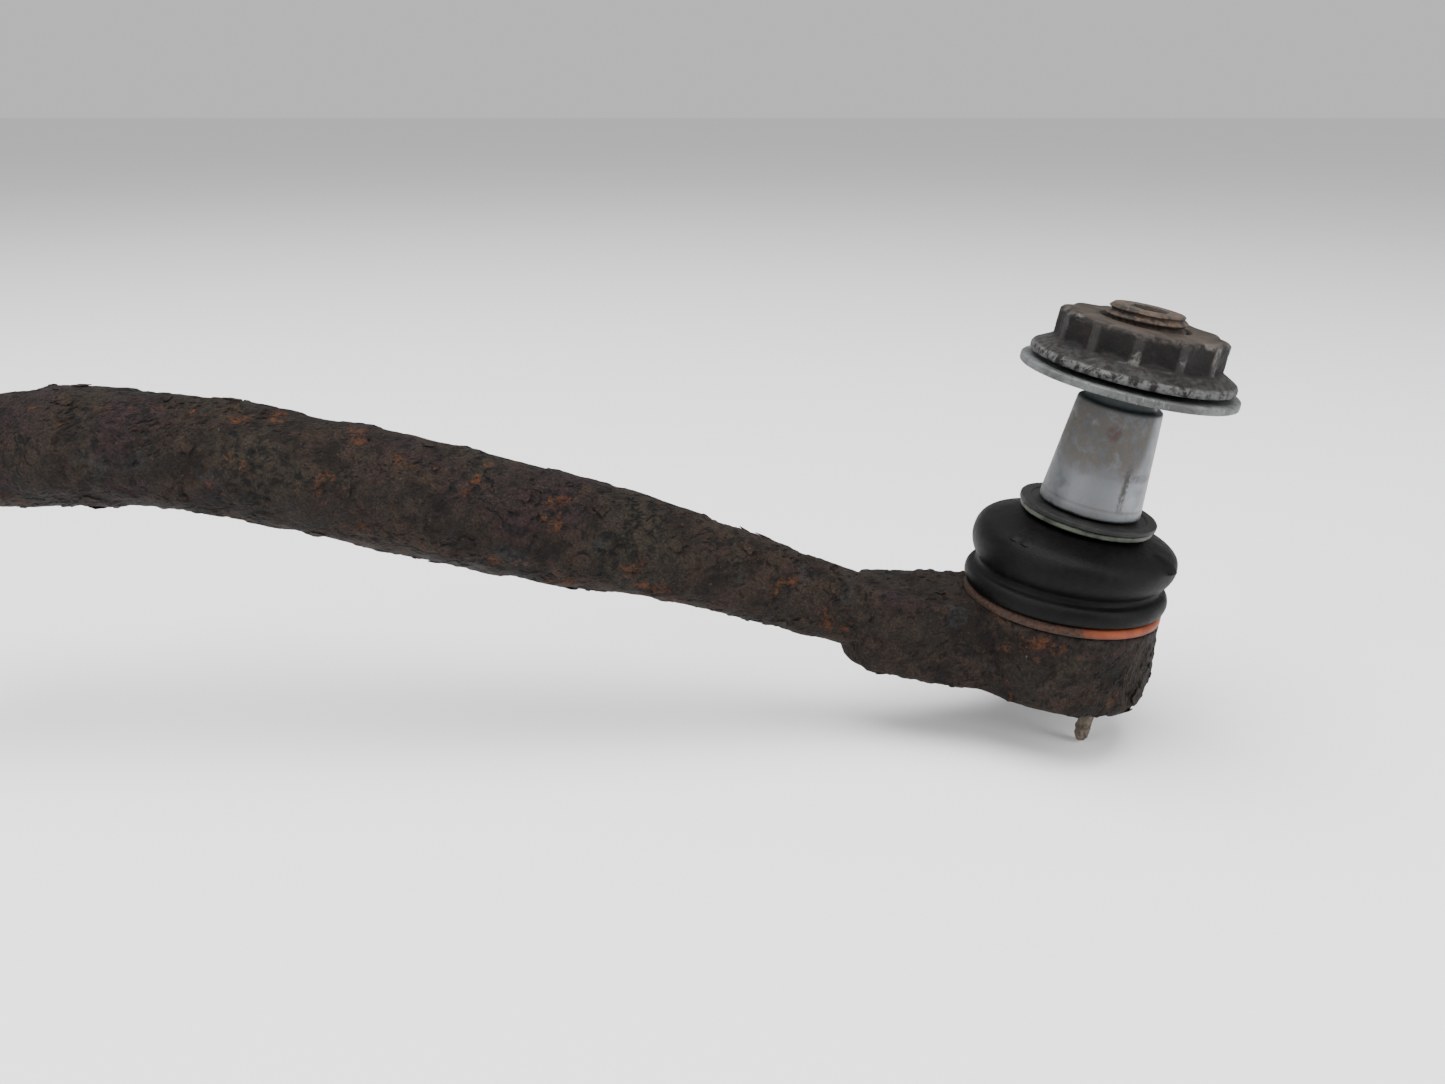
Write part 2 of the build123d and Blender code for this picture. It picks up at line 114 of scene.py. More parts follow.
class Paint:
    """A socket in a material's node tree, so that sums on it are written as plain arithmetic."""

    def __init__(self, tree, socket):
        self.tree = tree
        self.socket = socket

    def node(self, kind, settings, values, output=0):
        """Adds a node: its settings first, then the values or links of its sockets."""
        made = self.tree.nodes.new(kind)
        for name, value in settings.items():
            setattr(made, name, value)
        for name, value in values.items():
            if isinstance(value, Paint):
                self.tree.links.new(value.socket, made.inputs[name])
            else:
                made.inputs[name].default_value = value
        return Paint(self.tree, made.outputs[output] if made.outputs else None)

    def maths(self, operation, one, other=0.0):
        return self.node("ShaderNodeMath", {"operation": operation}, {0: one, 1: other})

    def __add__(self, other):
        return self.maths("ADD", self, other)

    def __radd__(self, other):
        return self.maths("ADD", other, self)

    def __sub__(self, other):
        return self.maths("SUBTRACT", self, other)

    def __rsub__(self, other):
        return self.maths("SUBTRACT", other, self)

    def __mul__(self, other):
        return self.maths("MULTIPLY", self, other)

    def __rmul__(self, other):
        return self.maths("MULTIPLY", other, self)

    def ramp(self, low, high):
        """0 below low and 1 above high, or the other way round if low is the larger, smooth in between."""
        if low > high:
            return 1 - self.ramp(high, low)
        return self.node(
            "ShaderNodeMapRange",
            {"interpolation_type": "SMOOTHSTEP"},
            {"Value": self, "From Min": low, "From Max": high},
        )

    def over(self, below, above):
        """The colour above where this value is 1, and the colour below where it is 0."""
        tints = {6: below, 7: above}
        tints = {k: v if isinstance(v, Paint) else (*v, 1) for k, v in tints.items()}
        return self.node("ShaderNodeMix", {"data_type": "RGBA"}, {0: self, **tints}, 2)

    def scaled(self, colour):
        """A colour darkened by this value."""
        settings = {"data_type": "RGBA", "blend_type": "MULTIPLY"}
        return self.node("ShaderNodeMix", settings, {0: 1.0, 6: colour, 7: self}, 2)

    def vector(self, operation, other, output=0):
        return self.node("ShaderNodeVectorMath", {"operation": operation}, {0: self, 1: other}, output)

    def grain(self, size, seed=0.0, detail=4.0, roughness=0.55):
        """Noise with features of about that size in metres, from 0 to 1 about 0.5."""
        return self.node(
            "ShaderNodeTexNoise",
            {"noise_dimensions": "4D"},
            {"Vector": self, "W": seed, "Scale": 1 / size, "Detail": detail, "Roughness": roughness},
        )

    def cells(self, size, feature="F1", seed=0.0):
        """Distance from cell centres, or to cell edges, in cell sizes."""
        return self.node(
            "ShaderNodeTexVoronoi",
            {"voronoi_dimensions": "4D", "feature": feature},
            {"Vector": self, "W": seed, "Scale": 1 / size},
        )

    def warped(self, size, amount, seed=0.0):
        """These coordinates pushed about by noise of a size, by up to an amount in metres."""
        swirl = self.node(
            "ShaderNodeTexNoise",
            {"noise_dimensions": "4D"},
            {"Vector": self, "W": seed, "Scale": 1 / size, "Detail": 3.0},
            "Color",
        )
        centred = swirl.vector("SUBTRACT", (0.5, 0.5, 0.5))
        return self.vector("ADD", centred.vector("MULTIPLY", (2 * amount,) * 3))

    def stretched(self, x, y, z):
        return self.vector("MULTIPLY", (x, y, z))

    def along(self, origin, axis):
        """Distance in metres from an origin along an axis."""
        return self.vector("SUBTRACT", tuple(origin)).vector("DOT_PRODUCT", tuple(axis), "Value")

    def from_axis(self, origin, axis):
        """Distance in metres from a line through an origin."""
        arm = self.vector("SUBTRACT", tuple(origin))
        return arm.vector("CROSS_PRODUCT", tuple(axis)).vector("LENGTH", (0, 0, 0), "Value")

    def attribute(self, name):
        return self.node("ShaderNodeAttribute", {"attribute_name": name}, {}, "Fac")


def start_material(name):
    """A new material and its object coordinates."""
    material = bpy.data.materials.new(name)
    material.use_nodes = True
    material.node_tree.nodes.clear()
    coords = material.node_tree.nodes.new("ShaderNodeTexCoord")
    return material, Paint(material.node_tree, coords.outputs["Object"])


def end_material(place, colour, roughness, metallic, height, depth, shine=0.5):
    """Joins a colour, roughness, metal share and bump height of some depth in metres to the surface."""
    normal = place.node("ShaderNodeBump", {}, {"Height": height, "Distance": depth}, "Normal")
    surface = place.node(
        "ShaderNodeBsdfPrincipled",
        {},
        {
            "Base Color": colour,
            "Roughness": roughness,
            "Metallic": metallic,
            "Normal": normal,
            "Specular IOR Level": shine,
        },
    )
    place.node("ShaderNodeOutputMaterial", {}, {"Surface": surface})


floor_low = cad_box[0].z - floor_gap
floor_mesh = bpy.data.meshes.new("floor")
floor_corners = [(x * floor_size, y * floor_size, floor_low) for x, y in ((-1, -1), (1, -1), (1, 1), (-1, 1))]
floor_mesh.from_pydata(floor_corners, [], [(0, 1, 2, 3)])
floor = bpy.data.objects.new("floor", floor_mesh)
bpy.context.scene.collection.objects.link(floor)
floor_paint, place = start_material("pale_floor")
mottle = place.grain(0.25)
end_material(place, mottle.over((0.84, 0.84, 0.85), (0.88, 0.88, 0.89)), 0.85, 0.0, mottle, 0.0001)
floor_mesh.materials.append(floor_paint)

# ---- Axes -------------------------------------------------------------------------------------------
# The ball joint turns about the housing's axis and the stud's, which cross at the ball's centre. Both come
# from the joints. Sizes below are in metres, and heights are along one of these two axes.

joints = {joint["name"]: joint for joint in frame["joints"]}
ball = Vector(joints["stud_spin"]["pos_m"])
stud_up = Vector(joints["stud_spin"]["axis"]).normalized()
housing_up = Vector(joints["lean_direction"]["axis"]).normalized()
housing_ahead = Vector((0, 1, 0)).cross(housing_up).normalized()
mm = 0.001
ball_above_top_face = 1.1 * mm
top_face = ball - housing_up * ball_above_top_face


def basis(up):
    """Two directions across an axis: ahead along the shank, and to its left."""
    ahead = (housing_ahead - up * housing_ahead.dot(up)).normalized()
    return ahead, up.cross(ahead)


# ---- Forged body ------------------------------------------------------------------------------------
# One steel forging: the arched shank and the ball housing, drop-forged and then machined only inside the
# bores. Years of road salt have covered the outside with thick black-brown rust scale that cracks, lifts
# and drops off in flakes, down to brown pits.

voxel = 0.56 * mm
housing_radius = 18.1 * mm
collar_clear = 15.6 * mm
plate_clear = 13.6 * mm
socket_axis = Vector((cos(radians(6)), 0, sin(radians(6))))
socket_clear = 7.7 * mm
socket_depth = 42 * mm
socket_thread_wall = 7.15 * mm
socket_wall_from = 0.4 * mm
socket_wall_to = 39.5 * mm
socket_wall_inner = 5 * mm
hexagon_end = 11 * mm
shank_rust_from = 19 * mm
weld_distance = 0.002 * mm
collar_foot = 0.25 * mm
plate_zone_top = -12 * mm
bearing_zone_low = -20 * mm
rim_fade = 2.2 * mm


def smooth(low, high, value):
    """0 below low, 1 above high and smooth in between."""
    share = min(max((value - low) / (high - low), 0), 1)
    return share * share * (3 - 2 * share)


def turbulence(point, size, seed, octaves=4):
    """Fractal noise of a feature size in metres, about -1 to 1."""
    return noise.fractal(point / size + Vector((seed, 0, 0)), 0.9, 2.1, octaves)


def scale_height(point):
    """Height of rust scale at a point, the share of its layers still there, and how near a torn edge is."""
    swirl = Vector(noise.noise_vector(point / (3 * mm))) * 0.9 * mm
    bent = point + swirl
    waves = turbulence(point, 17 * mm, 3, 2) * 0.30
    lumps = turbulence(bent, 4.2 * mm, 11, 4) * 0.17
    plates = turbulence(bent + swirl, 9 * mm, 29, 5)
    kept = smooth(-0.12, -0.04, plates)
    upper = smooth(0.16, 0.21, plates)
    lip = max(1 - abs(plates + 0.10) / 0.05, (1 - abs(plates - 0.17) / 0.04), 0)
    lip *= smooth(-0.05, 0.25, turbulence(point, 8 * mm, 47, 2))
    near, _ = noise.voronoi(bent / (2.3 * mm))
    pit = 1 - smooth(0.12, 0.36, near[0])
    rise = waves + lumps + 0.20 * kept + 0.22 * upper - 0.24 * pit * (1 - 0.5 * kept)
    return rise * mm, (kept + upper) / 2, lip


source = frame["nodes"]["forged_body"]
shape = source.data.copy()
shape.materials.clear()
merged = bmesh.new()
merged.from_mesh(shape)
bmesh.ops.remove_doubles(merged, verts=merged.verts, dist=weld_distance)
merged.to_mesh(shape)
merged.free()
forging = bpy.data.objects.new("forging_surface", shape)
bpy.context.scene.collection.objects.link(forging)
remesh = forging.modifiers.new("remesh", "REMESH")
remesh.mode, remesh.voxel_size = "VOXEL", voxel
bpy.context.view_layer.update()
fine = bpy.data.meshes.new_from_object(forging.evaluated_get(bpy.context.evaluated_depsgraph_get()))
forging.modifiers.clear()
forging.data = fine
bpy.data.meshes.remove(shape)

places = np.empty(len(fine.vertices) * 3, np.float32)
fine.vertices.foreach_get("co", places)
facings = np.array([tuple(corner.vector) for corner in fine.vertex_normals])
layers, lips, outsides, moved = [], [], [], []
for spot, facing in zip(places.reshape(-1, 3).tolist(), facings.tolist()):
    point, normal = Vector(spot), Vector(facing)
    arm = point - top_face
    height = arm.dot(housing_up)
    radius = (arm - housing_up * height).length
    deep = point.dot(socket_axis)
    bore = (point - socket_axis * deep).length
    outside = smooth(-0.2 * mm, 0.8 * mm, radius - collar_clear) if height > collar_foot else 1
    if height < plate_zone_top:
        outside *= smooth(0, 1.2 * mm, radius - plate_clear)
    if radius < plate_clear and height > bearing_zone_low:
        outside = 0
    if bore < socket_clear and deep < socket_depth:
        outside = 0
        if bore > socket_wall_inner and socket_wall_from < deep < socket_wall_to:
            across = point - socket_axis * deep
            point = socket_axis * deep + across * (socket_thread_wall / bore)
    outside *= 0.35 + 0.65 * smooth(hexagon_end, shank_rust_from, deep)
    rise, layer, lip = scale_height(point)
    if abs(height) < rim_fade and radius < housing_radius * 1.02:
        rise *= 0.3 + 0.7 * smooth(0.1 * mm, rim_fade, -height)
    moved.extend(point + normal * rise * outside)
    layers.append(layer)
    lips.append(lip * outside)
    outsides.append(outside)
fine.vertices.foreach_set("co", moved)
fine.update()
for name, values in (("layer", layers), ("lip", lips), ("outside", outsides)):
    attribute = fine.attributes.new(name, "FLOAT", "POINT")
    attribute.data.foreach_set("value", values)
for polygon in fine.polygons:
    polygon.use_smooth = True


def rust(place, layer, lip):
    """Colour, roughness and bump height of rust scale, from how much of its upper layer is left."""
    bent = place.warped(0.0035, 0.0012, 1.0)
    broad = place.warped(0.01, 0.004).grain(0.020, 5.0, 4.0)
    patch = bent.grain(0.0060, 7.0, 7.0, 0.66)
    fleck = bent.grain(0.0014, 9.0, 6.0, 0.68)
    grit = place.grain(0.00040, 13.0, 4.0, 0.62)
    pores = bent.cells(0.0011, "F1", 2.0)
    cracks = bent.warped(0.0012, 0.0005, 6.0).cells(0.0110, "DISTANCE_TO_EDGE", 4.0)
    brown = patch.ramp(0.40, 0.60).over((0.0070, 0.0040, 0.0027), (0.0300, 0.0180, 0.0118))
    purple = fleck.ramp(0.38, 0.62).over((0.0058, 0.0030, 0.0036), (0.0250, 0.0125, 0.0128))
    olive = fleck.ramp(0.38, 0.62).over((0.0065, 0.0050, 0.0032), (0.0270, 0.0205, 0.0132))
    base = broad.ramp(0.50, 0.62).over(brown, purple)
    base = place.grain(0.015, 15.0, 5.0).ramp(0.50, 0.60).over(base, olive)
    blue = place.warped(0.006, 0.003, 3.0).grain(0.0095, 31.0, 6.0, 0.66).ramp(0.575, 0.645)
    base = (blue * 0.55).over(base, fleck.ramp(0.4, 0.62).over((0.0070, 0.0080, 0.0100), (0.0240, 0.0262, 0.0290)))
    orange = bent.grain(0.0085, 41.0, 7.0, 0.70).ramp(0.55, 0.64) * fleck.ramp(0.38, 0.56)
    base = (orange * 0.9).over(base, fleck.ramp(0.4, 0.65).over((0.034, 0.0115, 0.0040), (0.095, 0.031, 0.0095)))
    speck = bent.grain(0.0010, 53.0, 3.0).ramp(0.63, 0.72)
    base = (speck * 0.8).over(base, patch.ramp(0.4, 0.6).over((0.060, 0.031, 0.015), (0.026, 0.028, 0.044)))
    pale = bent.grain(0.0016, 63.0, 5.0, 0.6).ramp(0.68, 0.74)
    base = (pale * 0.7).over(base, (0.105, 0.092, 0.078))
    hollow = fleck.ramp(0.50, 0.38)
    base = (hollow * 0.85).over(base, (0.0012, 0.0009, 0.0009))
    base = (pores.ramp(0.32, 0.10) * 0.6).over(base, (0.0014, 0.0010, 0.0009))
    dry = grit.ramp(0.35, 0.7).over((0.0100, 0.0072, 0.0054), (0.0270, 0.0200, 0.0148))
    base = (layer.ramp(0.2, 0.6) * 0.35).over(base, dry)
    line = cracks.ramp(0.018, 0.004) * patch.ramp(0.56, 0.62)
    line = line.maths("MAXIMUM", line, lip)
    base = (line * 0.85).over(base, (0.0010, 0.0008, 0.0008))
    base = (grit.ramp(0.25, 0.75) * 0.9 + 0.55).scaled(base)
    rough = 0.60 + 0.26 * fleck - 0.10 * blue
    relief = 0.95 * fleck + 0.40 * grit + 0.40 * pores.ramp(0.05, 0.45) - 0.5 * line + 0.35 * patch
    return base, rough, relief


rust_paint, place = start_material("rust_scale")
rust_colour, rust_rough, rust_relief = rust(place, place.attribute("layer"), place.attribute("lip"))
end_material(place, rust_colour, rust_rough, 0.0, rust_relief, 0.0021, 0.18)
fine.materials.append(rust_paint)


def flake_tree(material):
    """Geometry nodes that lay thin, slightly lifted flakes of scale over a surface, where it is marked as outside."""
    tree = bpy.data.node_groups.new("loose_flakes", "GeometryNodeTree")
    face = tree.interface
    face.new_socket("Surface", in_out="INPUT", socket_type="NodeSocketGeometry")
    for name, kind, value in (
        ("Flakes per Square Metre", "NodeSocketFloat", 26000.0),
        ("Smallest Radius", "NodeSocketFloat", 0.0005),
        ("Largest Radius", "NodeSocketFloat", 0.0021),
        ("Thickness", "NodeSocketFloat", 0.00018),
        ("Lift Angle", "NodeSocketFloat", 0.07),
        ("Seed", "NodeSocketInt", 7),
    ):
        socket = face.new_socket(name, in_out="INPUT", socket_type=kind)
        socket.default_value = value
    face.new_socket("Flakes", in_out="OUTPUT", socket_type="NodeSocketGeometry")

    def node(kind, settings=None, **links):
        made = tree.nodes.new(kind)
        for key, value in (settings or {}).items():
            setattr(made, key, value)
        for key, value in links.items():
            numbered = key[0] == "i" and key[1:].isdigit()
            socket = made.inputs[int(key[1:]) if numbered else key.replace("_", " ")]
            if isinstance(value, bpy.types.NodeSocket):
                tree.links.new(value, socket)
            else:
                socket.default_value = value
        return made

    def maths(operation, one, other):
        return node("ShaderNodeMath", {"operation": operation}, i0=one, i1=other).outputs[0]

    def drawn(low, high, seed):
        return node("FunctionNodeRandomValue", {"data_type": "FLOAT"}, i2=low, i3=high, Seed=seed).outputs[1]

    given = node("NodeGroupInput").outputs
    outside = node("GeometryNodeInputNamedAttribute", {"data_type": "FLOAT"}, Name="outside").outputs["Attribute"]
    layer = node("GeometryNodeInputNamedAttribute", {"data_type": "FLOAT"}, Name="layer").outputs["Attribute"]
    open_place = maths("GREATER_THAN", outside, 0.9)
    density = maths("MULTIPLY", open_place, given["Flakes per Square Metre"])
    density = maths("MULTIPLY", density, layer)
    scatter = node("GeometryNodeDistributePointsOnFaces", Mesh=given["Surface"], Density=density, Seed=given["Seed"])
    disc = node("GeometryNodeMeshCircle", {"fill_type": "NGON"}, Vertices=11, Radius=1.0).outputs[0]
    ragged = drawn(0.62, 1.1, given["Seed"])
    spot = node("GeometryNodeInputPosition").outputs[0]
    torn = node("ShaderNodeVectorMath", {"operation": "SCALE"}, i0=spot, Scale=ragged).outputs[0]
    disc = node("GeometryNodeSetPosition", Geometry=disc, Position=torn).outputs[0]
    size = drawn(0.0, 1.0, given["Seed"])
    size = maths("POWER", size, 2.4)
    size = node(
        "ShaderNodeMapRange", None, Value=size, To_Min=given["Smallest Radius"], To_Max=given["Largest Radius"]
    ).outputs[0]
    size_wide = node("ShaderNodeCombineXYZ", None, X=size, Y=size, Z=0.001).outputs[0]
    spin = drawn(0.0, 2 * pi, 3)
    tip = drawn(0.2, 1.0, 5)
    tip = maths("MULTIPLY", tip, given["Lift Angle"])
    turn = node("ShaderNodeCombineXYZ", None, X=tip, Y=0.0, Z=spin).outputs[0]
    placed = node(
        "GeometryNodeInstanceOnPoints",
        None,
        Points=scatter.outputs["Points"],
        Instance=disc,
        Rotation=scatter.outputs["Rotation"],
        Scale=size_wide,
    ).outputs[0]
    placed = node("GeometryNodeRotateInstances", {}, Instances=placed, Rotation=turn).outputs[0]
    plates = node("GeometryNodeRealizeInstances", None, Geometry=placed).outputs[0]
    thick = node(
        "GeometryNodeExtrudeMesh", {"mode": "FACES"}, Mesh=plates, Offset_Scale=given["Thickness"]
    ).outputs[0]
    both = node("GeometryNodeSetMaterial", None, Geometry=thick, Material=material).outputs[0]
    node("NodeGroupOutput", None, i0=both)
    return tree


flake_paint, place = start_material("lifted_scale")
flake_colour, flake_rough, flake_relief = rust(place, place.grain(0.004, 71.0), 0.0)
end_material(place, flake_colour, flake_rough, 0.0, flake_relief, 0.0012, 0.14)

flake_maker = forging.modifiers.new("flakes", "NODES")
flake_maker.node_group = flake_tree(flake_paint)
bpy.context.view_layer.update()
flakes = bpy.data.objects.new(
    "loose_scale_flakes",
    bpy.data.meshes.new_from_object(forging.evaluated_get(bpy.context.evaluated_depsgraph_get())),
)
forging.modifiers.clear()
bpy.context.scene.collection.objects.link(flakes)

for piece in (forging, flakes):
    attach(piece, "housing")
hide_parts("forged_body")

# ---- Socket thread ----------------------------------------------------------------------------------
# The cut M14 thread inside the hollow end of the shank, which the inner rod screws into. It was cut in
# bright steel, and has rusted to a fine brown film.

thread_pitch = 1.5 * mm
socket_minor = 6.19 * mm
socket_major = 7.0 * mm
socket_back_wall = 7.3 * mm
socket_thread_end = 38.8 * mm
socket_lead = 0.9 * mm
crease_angle = radians(38)
turn_columns = 96
rows_per_pitch = 10


def skin(name, rows, closed=False, cap_low=False, cap_high=False):
    """A mesh over rows of points that each run once round. A closed one joins its last row to its first."""
    mesh = bpy.data.meshes.new(name)
    count = len(rows[0])
    points = [tuple(point) for row in rows for point in row]
    faces = []
    for i in range(len(rows) if closed else len(rows) - 1):
        one, next_one = i * count, ((i + 1) % len(rows)) * count
        for j in range(count):
            k = (j + 1) % count
            faces.append((one + j, one + k, next_one + k, next_one + j))
    for wanted, start in ((cap_low, 0), (cap_high, (len(rows) - 1) * count)):
        if wanted:
            points.append(tuple(sum((Vector(p) for p in points[start : start + count]), Vector()) / count))
            tip = len(points) - 1
            faces += [(start + j, start + (j + 1) % count, tip) for j in range(count)]
    mesh.from_pydata(points, [], faces)
    tidy = bmesh.new()
    tidy.from_mesh(mesh)
    bmesh.ops.remove_doubles(tidy, verts=tidy.verts, dist=1e-7)
    bmesh.ops.recalc_face_normals(tidy, faces=tidy.faces)
    for face in tidy.faces:
        face.smooth = True
    for edge in tidy.edges:
        edge.smooth = len(edge.link_faces) != 2 or edge.calc_face_angle(0) < crease_angle
    tidy.to_mesh(mesh)
    tidy.free()
    piece = bpy.data.objects.new(name, mesh)
    bpy.context.scene.collection.objects.link(piece)
    return piece


def ring_row(origin, up, ahead, left, radius, height, columns=turn_columns):
    """Points round an axis. The radius and the height may each be a function of the angle."""
    row = []
    for j in range(columns):
        angle = 2 * pi * j / columns
        r = radius(angle) if callable(radius) else radius
        h = height(angle) if callable(height) else height
        row.append(origin + up * h + ahead * (r * cos(angle)) + left * (r * sin(angle)))
    return row


def thread_depth(height, angle):
    """0 on a thread's crest and 1 in its root, at a height in metres and an angle round it."""
    turn = (height / thread_pitch - angle / (2 * pi)) % 1
    return min(max((abs(turn - 0.5) * 2 - 0.12) / 0.7, 0), 1)


socket_left = Vector((0, 1, 0))
socket_side = socket_axis.cross(socket_left).normalized()
socket_rows = []
steps = ceil((socket_thread_end + socket_lead) / thread_pitch * rows_per_pitch)
for i in range(steps + 1):
    h = -socket_lead + (socket_thread_end + socket_lead) * i / steps
    fade = smooth(-socket_lead, 0.6 * mm, h) * smooth(socket_thread_end, socket_thread_end - 2 * mm, h)

    def groove(angle, h=h, fade=fade):
        return socket_major - (socket_major - socket_minor) * (1 - thread_depth(h, angle)) * fade

    socket_rows.append(ring_row(Vector(), socket_axis, socket_side, socket_left, groove, h))
socket_rows.append(ring_row(Vector(), socket_axis, socket_side, socket_left, socket_back_wall, socket_thread_end))
socket_rows.append(ring_row(Vector(), socket_axis, socket_side, socket_left, socket_back_wall, -socket_lead))
socket_thread = skin("socket_thread", socket_rows, closed=True)

film_paint, place = start_material("rusted_thread")
bent = place.warped(0.002, 0.0008)
blotch = bent.grain(0.003, 3.0, 6.0, 0.65)
grit = place.grain(0.0003, 5.0, 3.0)
colour = blotch.ramp(0.4, 0.62).over((0.055, 0.036, 0.026), (0.16, 0.085, 0.045))
colour = (grit.ramp(0.35, 0.7) * 0.5 + 0.7).scaled(colour)
end_material(place, colour, 0.55 + 0.3 * blotch, 0.25, 0.6 * grit + 0.4 * blotch, 0.0003)
socket_thread.data.materials.append(film_paint)
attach(socket_thread, "housing")

# ---- Closing plate, sprue and bearing -----------------------------------------------------------------
# The housing's open end is shut by a pressed steel plate that the forging's lip is rolled over. The plastic
# bearing shells behind it were moulded in place, and the tail of their feed channel still hangs through it.

plate_paint, place = start_material("rusted_plate")
plate_colour, plate_rough, plate_relief = rust(place, place.grain(0.006, 61.0), 0.0)
end_material(place, plate_colour, plate_rough, 0.0, plate_relief, 0.0009, 0.14)
bearing_paint, place = start_material("bearing_plastic")
smear = place.warped(0.003, 0.002).grain(0.004, 2.0, 5.0)
grit = place.grain(0.0004, 4.0)
colour = smear.ramp(0.4, 0.65).over((0.62, 0.58, 0.47), (0.30, 0.23, 0.13))
end_material(place, colour, 0.3 + 0.25 * smear, 0.0, 0.3 * grit + 0.7 * smear, 0.0001, 0.6)
spring_paint, place = start_material("spring_steel")
brush = place.stretched(1, 1, 9).grain(0.0012, 6.0, 4.0)
colour = brush.ramp(0.35, 0.7).over((0.22, 0.21, 0.20), (0.42, 0.41, 0.40))
end_material(place, colour, 0.32 + 0.2 * brush, 0.9, brush, 0.00008)
sealing_paint, place = start_material("sealing_rubber")
grit = place.grain(0.0006, 8.0)
end_material(place, grit.over((0.012, 0.012, 0.012), (0.03, 0.029, 0.028)), 0.5 + 0.2 * grit, 0.0, grit, 0.0001)

for node_name, paint in (
    ("closing_plate", plate_paint),
    ("upper_bearing_shell", bearing_paint),
    ("lower_bearing_shell", bearing_paint),
    ("preload_spring", spring_paint),
    ("sealing_ring", sealing_paint),
    ("boot_foot_ring", spring_paint),
):
    mesh = frame["nodes"][node_name].data
    mesh.materials.clear()
    mesh.materials.append(paint)

sprue_low, sprue_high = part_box("sprue_plug")
sprue_ahead, sprue_left = basis(housing_up)
sprue_middle = (sprue_low + sprue_high) / 2
sprue_half = (sprue_high - sprue_low).z / 2 / housing_up.z
sprue_top_radius = 1.5 * mm
sprue_steps = 45
sprue_rows = []
for i in range(sprue_steps + 1):
    t = i / sprue_steps
    h = sprue_half * (1 - 2 * t)
    wobble = smooth(0.35, 1.0, t)
    offset = sprue_ahead * (0.35 * mm * wobble * sin(5 * t)) + sprue_left * (0.25 * mm * wobble)
    end = 1 - 0.35 * smooth(0.93, 1.0, t)

    def ragged(angle, t=t, wobble=wobble, end=end):
        probe = Vector((cos(angle) * 1.3, sin(angle) * 1.3, t * 9))
        return (sprue_top_radius - 0.25 * mm * t) * end * (1 + wobble * 0.28 * noise.fractal(probe, 0.8, 2, 4))

    sprue_rows.append(ring_row(sprue_middle + offset, housing_up, sprue_ahead, sprue_left, ragged, h, 40))
sprue = skin("sprue_tail", sprue_rows, cap_low=True, cap_high=True)
sprue_paint, place = start_material("weathered_sprue")
dirt = place.warped(0.001, 0.0005).grain(0.0011, 3.0, 6.0, 0.65)
fibre = place.stretched(5, 5, 1).grain(0.0012, 8.0, 4.0)
colour = dirt.ramp(0.35, 0.62).over((0.034, 0.025, 0.0175), (0.115, 0.090, 0.065))
colour = (fibre * 0.5 + 0.72).scaled(colour)
end_material(place, colour, 0.7 + 0.2 * dirt, 0.0, 0.6 * dirt + 0.6 * fibre, 0.0003)
sprue.data.materials.append(sprue_paint)
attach(sprue, "housing")
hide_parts("sprue_plug")

# ---- Ball stud --------------------------------------------------------------------------------------
# A hardened steel stud turned from bar: ball, neck, ground tapered seat and rolled M14 thread with a
# hexagon key hole in its end. The taper is bright where the arm's hole gripped it and brown where water
# crept in. The thread's end has rusted to grains.

ball_radius = 10.8 * mm
ball_flat = 9.9 * mm
neck_radius = 6.0 * mm
seat_start = 18.0 * mm
seat_end = 37.6 * mm
seat_large = 9.2 * mm
seat_small = 7.5 * mm
relief_radius = 6.1 * mm
thread_start = 39.1 * mm
thread_major = 7.0 * mm
thread_minor = 6.15 * mm
stud_end = 54.4 * mm
stud_chamfer = 0.9 * mm
key_flats = 6.0 * mm
key_depth = 4.5 * mm
ball_steps = 48
stud_ahead, stud_left = basis(stud_up)


def softened(profile, cut, steps=3):
    """A profile with each corner between its ends rounded off over a length."""
    soft = [profile[0]]
    for before, corner, after in zip(profile, profile[1:], profile[2:]):
        before, corner, after = Vector(before), Vector(corner), Vector(after)
        back, ahead = before - corner, after - corner
        one = corner + back * min(cut / back.length, 0.45)
        other = corner + ahead * min(cut / ahead.length, 0.45)
        for i in range(steps + 1):
            t = i / steps
            soft.append(tuple(one * (1 - t) ** 2 + corner * 2 * t * (1 - t) + other * t * t))
    return soft + [profile[-1]]


def even(profile, step):
    """A profile with points added so that no run is longer than a step."""
    full = [profile[0]]
    for one, other in zip(profile, profile[1:]):
        parts = max(1, ceil((Vector(other) - Vector(one)).length / step))
        full += [tuple(Vector(one).lerp(Vector(other), (i + 1) / parts)) for i in range(parts)]
    return full


def stud_row(radius, height, columns=turn_columns):
    return ring_row(ball, stud_up, stud_ahead, stud_left, radius, height, columns)


def hexagon(flats, angle):
    return flats / 2 / cos((angle % (pi / 3)) - pi / 6)


